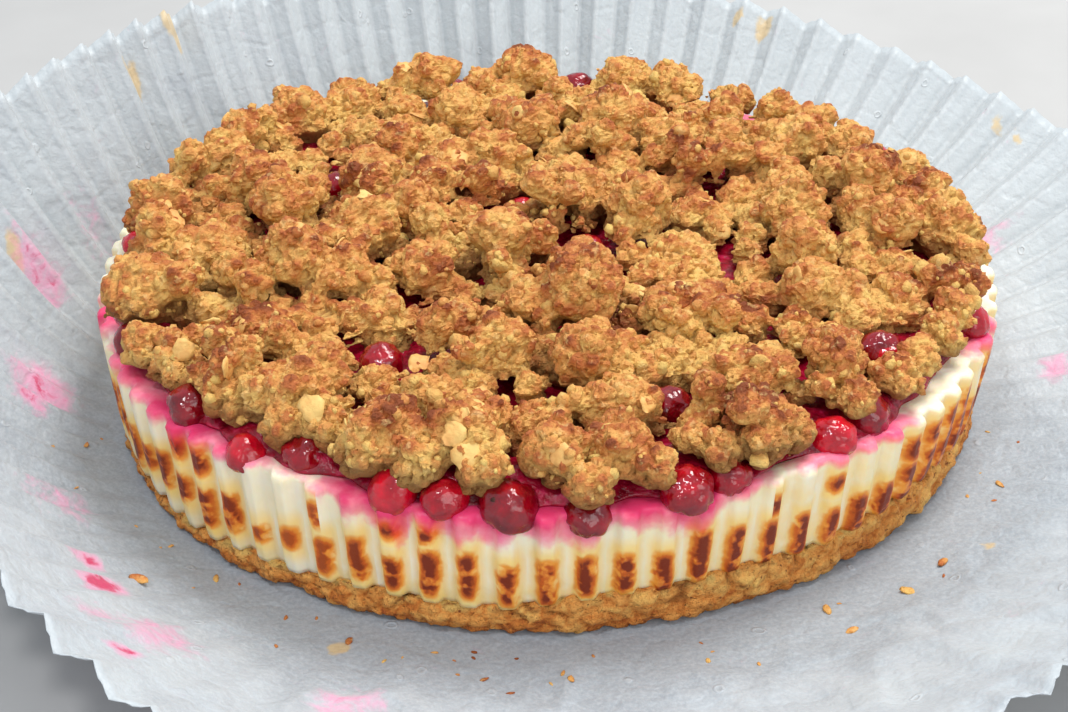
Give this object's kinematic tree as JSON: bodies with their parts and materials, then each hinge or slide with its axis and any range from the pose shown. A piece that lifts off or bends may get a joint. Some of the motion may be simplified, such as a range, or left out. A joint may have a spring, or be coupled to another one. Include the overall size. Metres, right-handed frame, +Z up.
{
  "type": "redcurrant crumble cheesecake",
  "caption": "Whole round cheesecake with a fluted side, biscuit base, redcurrants and oat crumble topping, standing in its opened fluted paper case.",
  "frame": {"origin": "centre of the paper case's flat underside, on the cake's axis, on the surface that the case stands on", "axes": "+Z up along the cake's axis; -Y towards the pictured front, where the case is pressed flattest; +X to the right seen from the front"},
  "size_m": [0.3129, 0.3182, 0.0608],
  "materials": {
    "greaseproof_paper": "crisp greaseproof, grease and juice marks",
    "biscuit": "rough baked oat biscuit",
    "baked_cheese": "smooth ivory, browned bars on the flutes",
    "redcurrant": "glossy baked berries in juice",
    "oat_crumble": "rough toasted oat crumble"
  },
  "bodies": {
    "root": {"paper_case": "greaseproof_paper", "biscuit_base": "biscuit", "cheese_layer": "baked_cheese", "redcurrants": "redcurrant", "crumble": "oat_crumble"}
  },
  "joints": []
}
